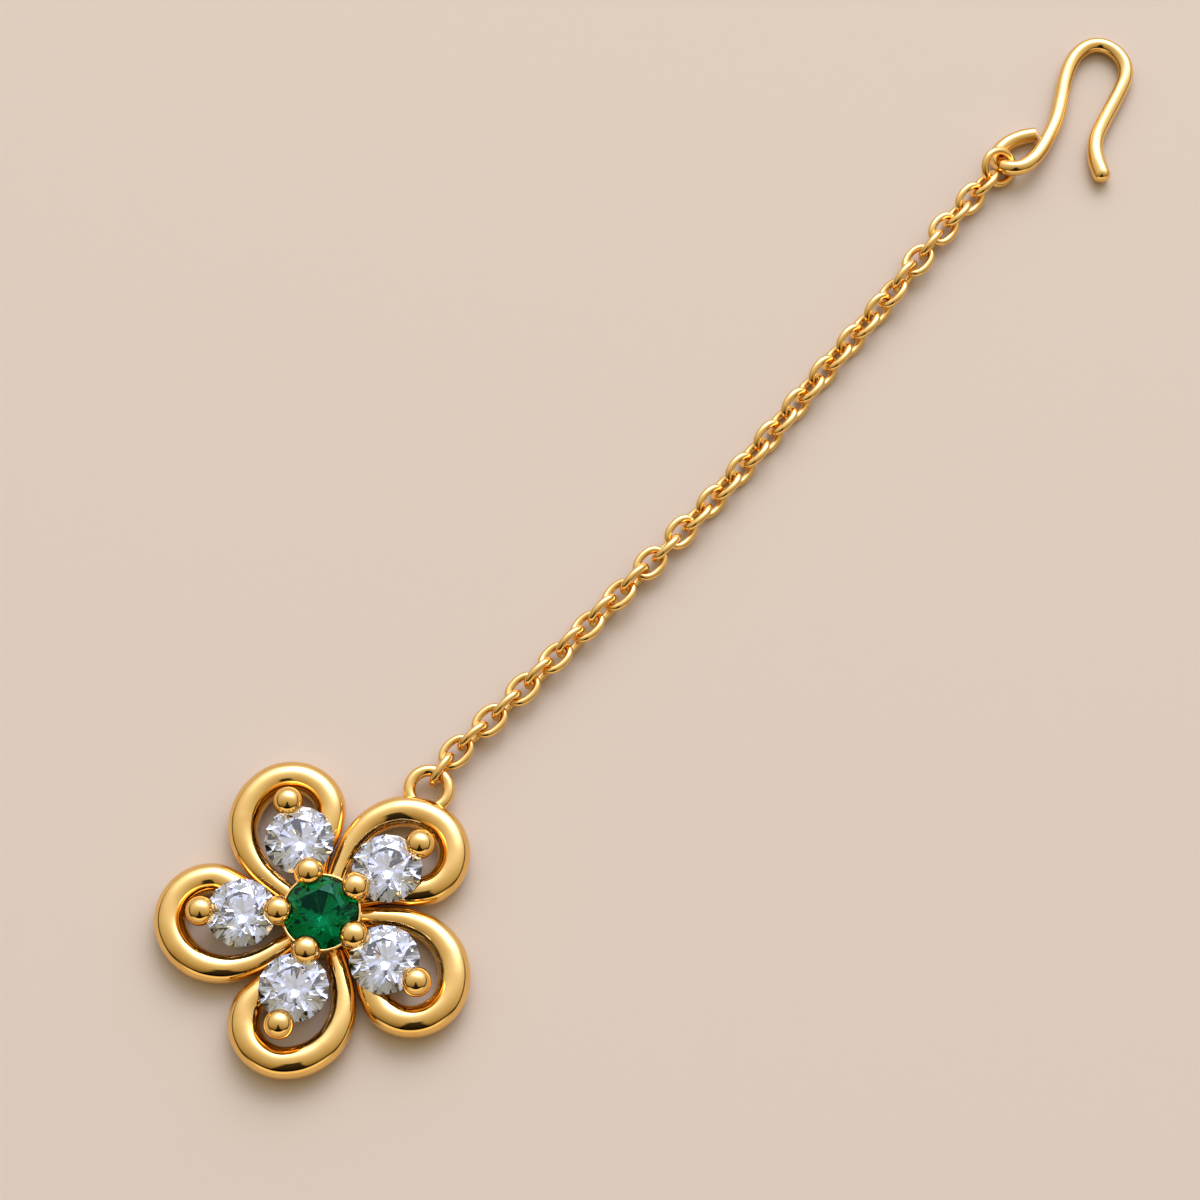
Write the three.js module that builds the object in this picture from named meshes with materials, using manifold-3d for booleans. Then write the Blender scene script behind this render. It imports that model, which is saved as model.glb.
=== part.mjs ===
// Maang tikka: a flower pendant of five wire petals with round stones, a cable chain and a hair hook.
// It lies face up. +Y runs from the flower to the hook, +Z is up, and lengths are in millimetres.
// The flower's centre is the working origin. The finished group is moved so that the origin is the
// bottom centre of its box.
import * as THREE from 'three';
import { mergeVertices } from 'three/addons/utils/BufferGeometryUtils.js';
import { ConvexGeometry } from 'three/addons/geometries/ConvexGeometry.js';
import Module from 'manifold-3d';

// Stones
const CENTRE_STONE_DIAMETER = 5.25;
const PETAL_STONE_DIAMETER = 5.0;
const STONE_SIDES = 16;
const TABLE_SHARE = 0.56;
const CROWN_SHARE = 0.15;
const GIRDLE_SHARE = 0.03;
const PAVILION_SHARE = 0.42;
const STONE_GAP = 0.07;

// Flower
const PETAL_COUNT = 5;
const FIRST_PETAL_ANGLE = THREE.MathUtils.degToRad(4.6);
const PETAL_WIRE_WIDTH = 2.34;
const PETAL_WIRE_HEIGHT = 2.3;
const PETAL_WIRE_SIDES = 10;
const PETAL_STEPS = 27;
const PETAL_HALF_WIDTH = 3.78;
const PETAL_INNER_GAP = 0.12;
const BEAD_DIAMETER = 2.15;
const BEAD_SIDES = 12;
const BEAD_RISE = 0.45;
const BEAD_OVER_CENTRE_STONE = 0.72;
const INNER_BEAD_OVER_PETAL_STONE = 0.92;
const OUTER_BEAD_OVER_PETAL_STONE = 0.73;
const PRONG_WIRE = 0.9;
const PRONG_SIDES = 8;
const COLLET_WALL = 0.22;
const COLLET_SIDES = 30;
const CENTRE_SEAT_FLOOR = 0.3;
const PETAL_SEAT_FLOOR = 0.15;
const GALLERY_RADIUS = 1.5;
const GALLERY_WIRE = 0.7;
const GALLERY_STEPS = 12;

// Bail, a wire ring soldered to the outside of the second petal
const BAIL_DIAMETER = 3.75;
const BAIL_WIRE = 0.9;
const BAIL_PETAL = 1;
const BAIL_TURN = THREE.MathUtils.degToRad(16.6);
const BAIL_STANDOFF = 1.2;

// Chain
const LINK_COUNT = 38;
const LINK_LENGTH = 2.96;
const LINK_WIDTH = 2.2;
const LINK_WIRE = 0.57;
const LINK_SHOULDER = 0.12;
const LINK_STEPS = 12;
const RING_STEPS = 16;
const RING_WIRE_SIDES = 6;
const LINK_PLAY = 0.13;
const BAIL_PLAY = 0.16;
const JUMP_RING_DIAMETER = 3.15;
const JUMP_RING_WIRE = 0.6;
const JUMP_RING_PLAY = 0.08;

// Hair hook
const HOOK_LENGTH = 13.8;
const HOOK_WIDTH = 8.0;
const HOOK_WIRE = 1.18;
const HOOK_TIP = 1.4;
const HOOK_FLARE_START = 0.88;
const HOOK_RISE = 0.75;
const HOOK_STEPS = 38;
const HOOK_WIRE_SIDES = 8;
const HOOK_PLAY = 0.2;

// Centreline of a petal's wire from the collet, round the stone and back under it. `out` is a share
// of the distance from the flower's centre to the far end, `side` a share of the half width, and
// `thick` a share of the wire's full thickness.
const PETAL_ROUTE = [
  { out: 0.175, side: 0.38, thick: 0.58 },
  { out: 0.315, side: 0.67, thick: 0.65 },
  { out: 0.465, side: 0.90, thick: 0.76 },
  { out: 0.630, side: 1.00, thick: 0.87 },
  { out: 0.800, side: 0.89, thick: 0.96 },
  { out: 0.930, side: 0.57, thick: 1.00 },
  { out: 0.995, side: 0.11, thick: 1.00 },
  { out: 0.960, side: -0.35, thick: 1.00 },
  { out: 0.855, side: -0.65, thick: 0.99 },
  { out: 0.715, side: -0.74, thick: 0.96 },
  { out: 0.585, side: -0.59, thick: 0.92 },
  { out: 0.430, side: -0.27, thick: 0.84 },
  { out: 0.215, side: 0.01, thick: 0.70 },
];

// Route of the chain, chosen by hand. `along` is the distance past the bail's centre in +Y and
// `side` the distance from it in +X.
const CHAIN_ROUTE = [
  { along: 0.0, side: 0.0 },
  { along: 2.6, side: -0.42 },
  { along: 7.4, side: -0.1 },
  { along: 14.6, side: 0.3 },
  { along: 21.5, side: 0.6 },
  { along: 31.4, side: 0.87 },
  { along: 38.4, side: 0.67 },
  { along: 45.5, side: 0.38 },
  { along: 52.0, side: 0.23 },
  { along: 59.6, side: -0.25 },
  { along: 66.0, side: -0.32 },
];

// How the chain twists as it lies: the angle of an even link's plane about the chain, in degrees,
// at numbered links. An odd link lies a quarter turn from it.
const CHAIN_TWIST = [
  { link: 0, roll: 90 },
  { link: 4, roll: 88 },
  { link: 8, roll: 70 },
  { link: 11, roll: 72 },
  { link: 14, roll: 110 },
  { link: 17, roll: 134 },
  { link: 29, roll: 137 },
  { link: 32, roll: 176 },
  { link: 35, roll: 213 },
  { link: 38, roll: 218 },
];

// Centreline of the hook's wire from the cut end of its eye to its tip. `along` is a share of the
// length from the eye to the arch, `side` a share of the width, and `rise` a share of HOOK_RISE.
const HOOK_ROUTE = [
  { along: 0.286, side: 0.031, rise: 0.00 },
  { along: 0.229, side: -0.044, rise: 0.00 },
  { along: 0.163, side: -0.098, rise: 0.00 },
  { along: 0.101, side: -0.118, rise: 0.00 },
  { along: 0.054, side: -0.108, rise: 0.00 },
  { along: 0.016, side: -0.058, rise: 0.22 },
  { along: 0.000, side: 0.019, rise: 0.62 },
  { along: 0.009, side: 0.100, rise: 1.00 },
  { along: 0.047, side: 0.172, rise: 1.10 },
  { along: 0.112, side: 0.204, rise: 1.00 },
  { along: 0.201, side: 0.199, rise: 0.70 },
  { along: 0.315, side: 0.156, rise: 0.40 },
  { along: 0.431, side: 0.096, rise: 0.20 },
  { along: 0.555, side: -0.007, rise: 0.05 },
  { along: 0.668, side: -0.113, rise: 0.00 },
  { along: 0.764, side: -0.179, rise: 0.00 },
  { along: 0.850, side: -0.201, rise: 0.00 },
  { along: 0.924, side: -0.174, rise: 0.00 },
  { along: 0.976, side: -0.101, rise: 0.00 },
  { along: 0.999, side: 0.009, rise: 0.00 },
  { along: 0.994, side: 0.126, rise: 0.00 },
  { along: 0.962, side: 0.234, rise: 0.00 },
  { along: 0.904, side: 0.311, rise: 0.00 },
  { along: 0.820, side: 0.361, rise: 0.00 },
  { along: 0.599, side: 0.454, rise: 0.00 },
  { along: 0.507, side: 0.501, rise: 0.02 },
  { along: 0.436, side: 0.573, rise: 0.06 },
  { along: 0.380, side: 0.671, rise: 0.12 },
  { along: 0.333, side: 0.790, rise: 0.15 },
];

const GOLD = new THREE.MeshStandardMaterial({ color: 0xd9a441, metalness: 1, roughness: 0.16 });
const GREEN_STONE = new THREE.MeshStandardMaterial({ color: 0x0b7a43, metalness: 0, roughness: 0.05 });
const WHITE_STONE = new THREE.MeshStandardMaterial({ color: 0xf1f4fa, metalness: 0, roughness: 0.03 });

const UP = new THREE.Vector3(0, 0, 1);

const wasm = await Module();
wasm.setup();

// The same shape with shared vertices, as manifold-3d and a closed body need.
function welded(geometry) {
  const bare = geometry.clone();
  for (const name of Object.keys(bare.attributes)) {
    if (name !== 'position') bare.deleteAttribute(name);
  }
  return mergeVertices(bare, 1e-4);
}

function toSolid(geometry) {
  const mesh = welded(geometry);
  return new wasm.Manifold(new wasm.Mesh({
    numProp: 3,
    vertProperties: new Float32Array(mesh.attributes.position.array),
    triVerts: new Uint32Array(mesh.index.array),
  }));
}

function toGeometry(solid) {
  const mesh = solid.getMesh();
  const geometry = new THREE.BufferGeometry();
  geometry.setAttribute('position', new THREE.BufferAttribute(new Float32Array(mesh.vertProperties), 3));
  geometry.setIndex(new THREE.BufferAttribute(new Uint32Array(mesh.triVerts), 1));
  return geometry;
}

// Points in even steps round a circle, at height z.
function circlePoints(count, radius, z, firstStep = 0) {
  return Array.from({ length: count }, (_, step) => {
    const angle = ((step + firstStep) / count) * 2 * Math.PI;
    return new THREE.Vector3(radius * Math.cos(angle), radius * Math.sin(angle), z);
  });
}

// Round brilliant cut with its girdle's middle at z = 0: table, star, kite and girdle facets on
// the crown, a narrow girdle, then kite and lower facets down to the culet.
function brilliantGeometry(diameter) {
  const radius = diameter / 2;
  const girdleTop = (diameter * GIRDLE_SHARE) / 2;
  const crownTop = girdleTop + diameter * CROWN_SHARE;
  const culet = -girdleTop - diameter * PAVILION_SHARE;
  const tableRadius = radius * TABLE_SHARE;
  const kiteRadius = (radius + tableRadius) / 2;
  const kiteTop = girdleTop + (crownTop - girdleTop) * 0.58;
  const lowerRadius = radius * 0.24;
  const lowerHeight = culet + (-girdleTop - culet) * 0.22;
  return new ConvexGeometry([
    ...circlePoints(STONE_SIDES / 2, tableRadius, crownTop),
    ...circlePoints(STONE_SIDES / 2, kiteRadius, kiteTop, 0.5),
    ...circlePoints(STONE_SIDES, radius, girdleTop),
    ...circlePoints(STONE_SIDES, radius, -girdleTop),
    ...circlePoints(STONE_SIDES / 2, lowerRadius, lowerHeight, 0.5),
    new THREE.Vector3(0, 0, culet),
  ]);
}

// Room that a stone needs in the metal, a little larger than the stone all round.
function seatSolid(diameter, place) {
  const grow = (diameter + 2 * STONE_GAP) / diameter;
  return toSolid(brilliantGeometry(diameter).scale(grow, grow, grow).translate(place.x, place.y, place.z));
}

// Height of a stone's girdle when its culet stands just above the floor of its seat.
function girdleHeight(diameter, floor) {
  return floor + STONE_GAP + diameter * (PAVILION_SHARE + GIRDLE_SHARE / 2);
}

// A wire along a curve, as rings of vertices. `radiusAt` gives its radius at a share of its length.
// A closed curve gives a ring, and an open one a rod with flat ends.
function wireGeometry(curve, { steps, sides, radiusAt, closed = false }) {
  const frames = curve.computeFrenetFrames(steps, closed);
  const ringCount = closed ? steps : steps + 1;
  const positions = [];
  const triangles = [];
  for (let ring = 0; ring < ringCount; ring += 1) {
    const centre = curve.getPointAt(ring / steps);
    const radius = radiusAt(ring / steps);
    for (const spoke of circlePoints(sides, radius, 0)) {
      positions.push(centre.clone()
        .addScaledVector(frames.normals[ring], spoke.x)
        .addScaledVector(frames.binormals[ring], spoke.y));
    }
  }
  const vertex = (ring, side) => (ring % ringCount) * sides + (side % sides);
  for (let ring = 0; ring < steps; ring += 1) {
    for (let side = 0; side < sides; side += 1) {
      const [a, b] = [vertex(ring, side), vertex(ring, side + 1)];
      const [c, d] = [vertex(ring + 1, side + 1), vertex(ring + 1, side)];
      triangles.push(a, b, c, a, c, d);
    }
  }
  if (!closed) {
    const start = positions.push(curve.getPointAt(0)) - 1;
    const end = positions.push(curve.getPointAt(1)) - 1;
    for (let side = 0; side < sides; side += 1) {
      triangles.push(start, vertex(0, side + 1), vertex(0, side));
      triangles.push(end, vertex(steps, side), vertex(steps, side + 1));
    }
  }
  return new THREE.BufferGeometry().setFromPoints(positions).setIndex(triangles);
}

function strut(from, to, diameter) {
  const radiusAt = () => diameter / 2;
  return wireGeometry(new THREE.LineCurve3(from, to), { steps: 1, sides: PRONG_SIDES, radiusAt });
}

// Closed oval in the XY plane with its long axis along Y. A shoulder makes its ends rounder.
class OvalCurve extends THREE.Curve {
  constructor(halfLength, halfWidth, shoulder) {
    super();
    this.halfLength = halfLength;
    this.halfWidth = halfWidth;
    this.shoulder = shoulder;
  }

  getPoint(share, target = new THREE.Vector3()) {
    const angle = share * 2 * Math.PI;
    const fuller = 1 + this.shoulder * Math.sin(angle) ** 2;
    return target.set(this.halfWidth * Math.sin(angle), this.halfLength * Math.cos(angle) * fuller, 0);
  }
}

function ovalRing(length, width, wire, steps, shoulder = 0) {
  const curve = new OvalCurve((length - wire) / 2, (width - wire) / 2, shoulder);
  const radiusAt = () => wire / 2;
  return wireGeometry(curve, { steps, sides: RING_WIRE_SIDES, radiusAt, closed: true });
}

function roundRing(diameter, wire, steps = RING_STEPS) {
  return ovalRing(diameter, diameter, wire, steps);
}

// A point of the flower from its distance and angle.
function polar(radius, angle, z = 0) {
  return new THREE.Vector3(radius * Math.cos(angle), radius * Math.sin(angle), z);
}

const beadRadius = BEAD_DIAMETER / 2;
const centreGirdleZ = girdleHeight(CENTRE_STONE_DIAMETER, CENTRE_SEAT_FLOOR);
const petalGirdleZ = girdleHeight(PETAL_STONE_DIAMETER, PETAL_SEAT_FLOOR);
const innerBeadReach = CENTRE_STONE_DIAMETER / 2 + beadRadius - BEAD_OVER_CENTRE_STONE;
const petalStoneReach = innerBeadReach + beadRadius + PETAL_STONE_DIAMETER / 2 - INNER_BEAD_OVER_PETAL_STONE;
const outerBeadReach = petalStoneReach + PETAL_STONE_DIAMETER / 2 + beadRadius - OUTER_BEAD_OVER_PETAL_STONE;
const petalReach = outerBeadReach + beadRadius + PETAL_INNER_GAP + PETAL_WIRE_WIDTH / 2;
const colletRadius = CENTRE_STONE_DIAMETER / 2 + COLLET_WALL;

function petalAngle(index) {
  return FIRST_PETAL_ANGLE + (index * 2 * Math.PI) / PETAL_COUNT;
}

// One petal's wire, lying on the floor, with a section a little taller than it is wide.
function petalWire(angle) {
  const points = PETAL_ROUTE.map(({ out, side }) => (
    new THREE.Vector3(out * petalReach, side * PETAL_HALF_WIDTH, 0)
  ));
  const curve = new THREE.CatmullRomCurve3(points, false, 'centripetal');
  const lastRow = PETAL_ROUTE.length - 1;
  const radiusAt = (share) => {
    const row = curve.getUtoTmapping(share) * lastRow;
    const start = Math.min(Math.floor(row), lastRow - 1);
    const thick = THREE.MathUtils.lerp(PETAL_ROUTE[start].thick, PETAL_ROUTE[start + 1].thick, row - start);
    return (thick * PETAL_WIRE_WIDTH) / 2;
  };
  return wireGeometry(curve, { steps: PETAL_STEPS, sides: PETAL_WIRE_SIDES, radiusAt })
    .scale(1, 1, PETAL_WIRE_HEIGHT / PETAL_WIRE_WIDTH)
    .translate(0, 0, PETAL_WIRE_HEIGHT / 2)
    .rotateZ(angle);
}

function bead(place) {
  return new THREE.SphereGeometry(beadRadius, BEAD_SIDES, BEAD_SIDES - 4)
    .rotateX(Math.PI / 2)
    .translate(place.x, place.y, place.z);
}

// The two round prongs of one petal's stone, the small ring below it, and what carries them.
function petalSetting(angle) {
  const stone = polar(petalStoneReach, angle);
  const railZ = GALLERY_WIRE / 2;
  const innerBead = polar(innerBeadReach, angle, centreGirdleZ + BEAD_RISE);
  const outerBead = polar(outerBeadReach, angle, petalGirdleZ + BEAD_RISE);
  const outerFoot = polar(petalStoneReach + GALLERY_RADIUS, angle, railZ);
  const innerFoot = polar(innerBeadReach, angle, 0);
  const railStart = polar(colletRadius / 2, angle, railZ);
  const railEnd = polar(petalStoneReach - GALLERY_RADIUS, angle, railZ);
  const gallery = roundRing(2 * GALLERY_RADIUS + GALLERY_WIRE, GALLERY_WIRE, GALLERY_STEPS);
  return [
    bead(innerBead),
    bead(outerBead),
    strut(innerFoot, innerBead, PRONG_WIRE),
    strut(outerFoot, outerBead, PRONG_WIRE),
    strut(railStart, railEnd, GALLERY_WIRE),
    gallery.translate(stone.x, stone.y, railZ),
  ];
}

function collet() {
  return new THREE.CylinderGeometry(colletRadius, colletRadius, centreGirdleZ, COLLET_SIDES)
    .rotateX(Math.PI / 2)
    .translate(0, 0, centreGirdleZ / 2);
}

const bailCentre = polar(petalReach + BAIL_STANDOFF, petalAngle(BAIL_PETAL) + BAIL_TURN, LINK_WIDTH / 2);

function bailRing() {
  return roundRing(BAIL_DIAMETER, BAIL_WIRE)
    .translate(bailCentre.x, bailCentre.y, bailCentre.z);
}

// All soldered metal of the flower, with the seats cut for its stones.
function flowerFrame() {
  const angles = Array.from({ length: PETAL_COUNT }, (_, index) => petalAngle(index));
  const metal = [collet(), bailRing()];
  for (const angle of angles) {
    metal.push(petalWire(angle), ...petalSetting(angle));
  }
  let frame = metal.map(toSolid).reduce((joined, piece) => joined.add(piece));
  frame = frame.subtract(seatSolid(CENTRE_STONE_DIAMETER, new THREE.Vector3(0, 0, centreGirdleZ)));
  for (const angle of angles) {
    frame = frame.subtract(seatSolid(PETAL_STONE_DIAMETER, polar(petalStoneReach, angle, petalGirdleZ)));
  }
  return toGeometry(frame);
}

// Value of a table's column at a given key, easing from row to row.
function tableValue(rows, key, column, at) {
  const last = rows.length - 1;
  const after = rows.findIndex((row) => row[key] > at);
  if (after === -1) return rows[last][column];
  if (after === 0) return rows[0][column];
  const start = rows[after - 1];
  const share = (at - start[key]) / (rows[after][key] - start[key]);
  return THREE.MathUtils.lerp(start[column], rows[after][column], THREE.MathUtils.smoothstep(share, 0, 1));
}

// The chain's centreline in plan, straight on past its last point if more links are asked for.
const routePoints = CHAIN_ROUTE.map(({ along, side }) => (
  new THREE.Vector3(bailCentre.x + side, bailCentre.y + along, 0)
));
const chainCurve = new THREE.CatmullRomCurve3(routePoints, false, 'centripetal');
const chainCurveLength = chainCurve.getLength();

function chainPoint(distance, height) {
  const share = Math.min(distance / chainCurveLength, 1);
  const point = chainCurve.getPointAt(share);
  point.addScaledVector(chainCurve.getTangentAt(share), Math.max(distance - chainCurveLength, 0));
  return point.setZ(height);
}

const linkPitch = LINK_LENGTH - 2 * LINK_WIRE - LINK_PLAY;
const firstLinkDistance = BAIL_DIAMETER / 2 - BAIL_WIRE + LINK_LENGTH / 2 - LINK_WIRE - BAIL_PLAY;
const lastLinkDistance = firstLinkDistance + (LINK_COUNT - 1) * linkPitch;
const jumpRingReach = JUMP_RING_DIAMETER / 2 - JUMP_RING_WIRE;
const jumpRingDistance = lastLinkDistance + LINK_LENGTH / 2 - LINK_WIRE + jumpRingReach - JUMP_RING_PLAY;

function linkRoll(index) {
  const quarterTurn = index % 2 === 0 ? 0 : -90;
  return THREE.MathUtils.degToRad(tableValue(CHAIN_TWIST, 'link', 'roll', index) + quarterTurn);
}

// Height at which two neighbouring links meet, for both of them to clear the floor.
function jointHeight(index) {
  const steepest = Math.max(...[index - 1, index].flatMap((link) => {
    const roll = linkRoll(Math.max(link, 0));
    return [Math.abs(Math.sin(roll)), Math.abs(Math.cos(roll))];
  }));
  return ((LINK_WIDTH - LINK_WIRE) / 2) * steepest + LINK_WIRE / 2;
}

// Puts a ring of the chain between two points of the route, with its plane turned about the chain.
function placeRing(mesh, start, end, roll) {
  const direction = end.clone().sub(start).normalize();
  const left = UP.clone().cross(direction).normalize();
  const lift = direction.clone().cross(left);
  const across = left.multiplyScalar(-Math.cos(roll)).addScaledVector(lift, -Math.sin(roll));
  const normal = across.clone().cross(direction);
  mesh.quaternion.setFromRotationMatrix(new THREE.Matrix4().makeBasis(across, direction, normal));
  mesh.position.copy(start).add(end).multiplyScalar(0.5);
}

function namedMesh(name, geometry, material) {
  const mesh = new THREE.Mesh(geometry, material);
  mesh.name = name;
  return mesh;
}

function chainLinks() {
  const links = new THREE.Group();
  const geometry = ovalRing(LINK_LENGTH, LINK_WIDTH, LINK_WIRE, LINK_STEPS, LINK_SHOULDER);
  for (let index = 0; index < LINK_COUNT; index += 1) {
    const link = namedMesh(`chain_link_${String(index + 1).padStart(2, '0')}`, geometry, GOLD);
    const middle = firstLinkDistance + index * linkPitch;
    const start = chainPoint(middle - linkPitch / 2, jointHeight(index));
    const end = chainPoint(middle + linkPitch / 2, jointHeight(index + 1));
    placeRing(link, start, end, linkRoll(index));
    links.add(link);
  }
  return links;
}

// The jump ring leans on the floor with one side, along the last stretch of the chain.
function jumpRing() {
  const ring = namedMesh('jump_ring', roundRing(JUMP_RING_DIAMETER, JUMP_RING_WIRE), GOLD);
  const roll = linkRoll(LINK_COUNT);
  const meanRadius = (JUMP_RING_DIAMETER - JUMP_RING_WIRE) / 2;
  const height = meanRadius * Math.abs(Math.sin(roll)) + JUMP_RING_WIRE / 2;
  const start = chainPoint(jumpRingDistance - meanRadius, height);
  const end = chainPoint(jumpRingDistance + meanRadius, height);
  placeRing(ring, start, end, roll);
  return ring;
}

// The hook's eye hangs on the far side of the jump ring, and its arch lies on the floor.
function hairHook() {
  const point = chainPoint(jumpRingDistance, 0);
  const eyeY = point.y + jumpRingReach - HOOK_WIRE / 2 - HOOK_PLAY;
  const points = HOOK_ROUTE.map(({ along, side, rise }) => new THREE.Vector3(
    point.x + side * HOOK_WIDTH,
    eyeY + along * HOOK_LENGTH,
    HOOK_WIRE / 2 + rise * HOOK_RISE,
  ));
  const curve = new THREE.CatmullRomCurve3(points, false, 'centripetal');
  const radiusAt = (share) => {
    const flare = THREE.MathUtils.smoothstep(share, HOOK_FLARE_START, 1);
    return THREE.MathUtils.lerp(HOOK_WIRE, HOOK_TIP, flare) / 2;
  };
  const wire = toSolid(wireGeometry(curve, { steps: HOOK_STEPS, sides: HOOK_WIRE_SIDES, radiusAt }));
  const tip = points[points.length - 1];
  const roundEnd = new THREE.SphereGeometry(HOOK_TIP / 2, BEAD_SIDES, BEAD_SIDES - 4)
    .rotateX(Math.PI / 2)
    .translate(tip.x, tip.y, HOOK_TIP / 2);
  return namedMesh('hair_hook', toGeometry(wire.add(toSolid(roundEnd))), GOLD);
}

function stones() {
  const group = new THREE.Group();
  const petalStone = welded(brilliantGeometry(PETAL_STONE_DIAMETER));
  const centre = namedMesh('centre_stone', welded(brilliantGeometry(CENTRE_STONE_DIAMETER)), GREEN_STONE);
  centre.position.set(0, 0, centreGirdleZ);
  group.add(centre);
  for (let index = 0; index < PETAL_COUNT; index += 1) {
    const stone = namedMesh(`petal_stone_${index + 1}`, petalStone, WHITE_STONE);
    stone.position.copy(polar(petalStoneReach, petalAngle(index), petalGirdleZ));
    group.add(stone);
  }
  return group;
}

const tikka = new THREE.Group();
tikka.add(namedMesh('flower_frame', flowerFrame(), GOLD), stones(), chainLinks(), jumpRing(), hairHook());

// The origin is the middle of the box in plan, on the surface that the jewel lies on.
tikka.updateMatrixWorld(true);
const box = new THREE.Box3().setFromObject(tikka, true);
const middle = box.getCenter(new THREE.Vector3());
tikka.position.set(-middle.x, -middle.y, -box.min.z);
tikka.updateMatrixWorld(true);

export default tikka;
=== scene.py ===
"""Looks of the maang tikka: smooth polished wire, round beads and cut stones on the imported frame.

Lengths are in millimetres and become metres where a mesh is written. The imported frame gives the
places: the stones' boxes give the flower's centre, reach and angles, and each link's own mesh
gives how that link lies.
"""
import math

import bmesh
import bpy
import numpy as np
from mathutils import Matrix, Vector


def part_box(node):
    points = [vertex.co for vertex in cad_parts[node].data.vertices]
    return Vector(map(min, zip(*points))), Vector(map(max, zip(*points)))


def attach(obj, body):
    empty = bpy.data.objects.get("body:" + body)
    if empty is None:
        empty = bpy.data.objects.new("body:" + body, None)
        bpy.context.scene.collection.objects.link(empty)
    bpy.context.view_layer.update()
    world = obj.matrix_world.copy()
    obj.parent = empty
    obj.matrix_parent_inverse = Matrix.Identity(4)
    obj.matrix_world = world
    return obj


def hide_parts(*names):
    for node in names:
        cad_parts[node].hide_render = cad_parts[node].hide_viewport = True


MM = 0.001
UP = Vector((0, 0, 1))

# Flower
PETAL_COUNT = 5
PETAL_WIRE_WIDTH = 2.34
PETAL_WIRE_HEIGHT = 2.3
PETAL_HALF_WIDTH = 3.78
PETAL_INNER_GAP = 0.12
BEAD_DIAMETER = 2.15
BEAD_RISE = 0.45
BEAD_OVER_CENTRE_STONE = 0.72
OUTER_BEAD_OVER_PETAL_STONE = 0.73
PRONG_WIRE = 0.9
COLLET_WALL = 0.22
COLLET_FOOT_ROUND = 0.12
COLLET_RIM_RISE = 0.08
COLLET_CUP_RADIUS = 0.3
COLLET_CUP_HEIGHT = 0.4
COLLET_CUP_DIP = 0.05
GALLERY_RADIUS = 1.5
GALLERY_WIRE = 0.7
SEAT_CLEARANCE = 0.02

# Stones, as shares of their diameter
TABLE_SHARE = 0.56
CROWN_SHARE = 0.15
GIRDLE_SHARE = 0.03
PAVILION_SHARE = 0.42
# How far the stars reach down the crown and the mains' widest corners stand over the culet, as
# shares of the crown's and the pavilion's depth
KITE_DROP = 0.40
LOWER_RISE = 0.20
# The cut repeats itself this many times round the stone
CUT_FOLDS = 8

# Bail and chain
BAIL_DIAMETER = 3.75
BAIL_WIRE = 0.9
BAIL_PETAL = 2
BAIL_TURN = math.radians(16.6)
BAIL_STANDOFF = 1.2
LINK_LENGTH = 2.96
LINK_WIDTH = 2.2
LINK_WIRE = 0.57
LINK_SHOULDER = 0.12
LINK_COUNT = 38
JUMP_RING_DIAMETER = 3.15
JUMP_RING_WIRE = 0.6

# Hair hook
HOOK_LENGTH = 13.8
HOOK_WIDTH = 8.0
HOOK_WIRE = 1.18
HOOK_TIP = 1.4
HOOK_FLARE_START = 0.88
HOOK_RISE = 0.75
HOOK_CUT_END_ROUND = 0.3
HOOK_TIP_ROUND = 0.85
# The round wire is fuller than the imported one, so it is moved to clear the last link and the floor
HOOK_SHIFT = (-0.06, 0.145, 0.012)

# Share of the radius by which a plain wire's ends are rounded
WIRE_END_ROUND = 0.25

# Smoothness of the meshes
PETAL_STEPS = 150
PETAL_SIDES = 40
LINK_STEPS = 56
LINK_SIDES = 18
RING_STEPS = 72
RING_SIDES = 24
HOOK_STEPS = 220
HOOK_SIDES = 28
BEAD_SEGMENTS = 48
COLLET_SEGMENTS = 96
END_STEPS = 6

# Rounded rim of the collet: how far each point lies inside the wall and below the lip
COLLET_RIM = [
    {"inside": 0.00, "below": 0.06},
    {"inside": 0.03, "below": 0.01},
    {"inside": 0.08, "below": 0.00},
    {"inside": 0.14, "below": 0.00},
    {"inside": 0.18, "below": 0.03},
    {"inside": 0.20, "below": 0.18},
]

# Centreline of a petal's wire, with the part's own shares of its reach, half width and thickness.
PETAL_ROUTE = [
    {"out": 0.175, "side": 0.38, "thick": 0.58},
    {"out": 0.315, "side": 0.67, "thick": 0.65},
    {"out": 0.465, "side": 0.90, "thick": 0.76},
    {"out": 0.630, "side": 1.00, "thick": 0.87},
    {"out": 0.800, "side": 0.89, "thick": 0.96},
    {"out": 0.930, "side": 0.57, "thick": 1.00},
    {"out": 0.995, "side": 0.11, "thick": 1.00},
    {"out": 0.960, "side": -0.35, "thick": 1.00},
    {"out": 0.855, "side": -0.65, "thick": 0.99},
    {"out": 0.715, "side": -0.74, "thick": 0.96},
    {"out": 0.585, "side": -0.59, "thick": 0.92},
    {"out": 0.430, "side": -0.27, "thick": 0.84},
    {"out": 0.215, "side": 0.01, "thick": 0.70},
]

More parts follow.
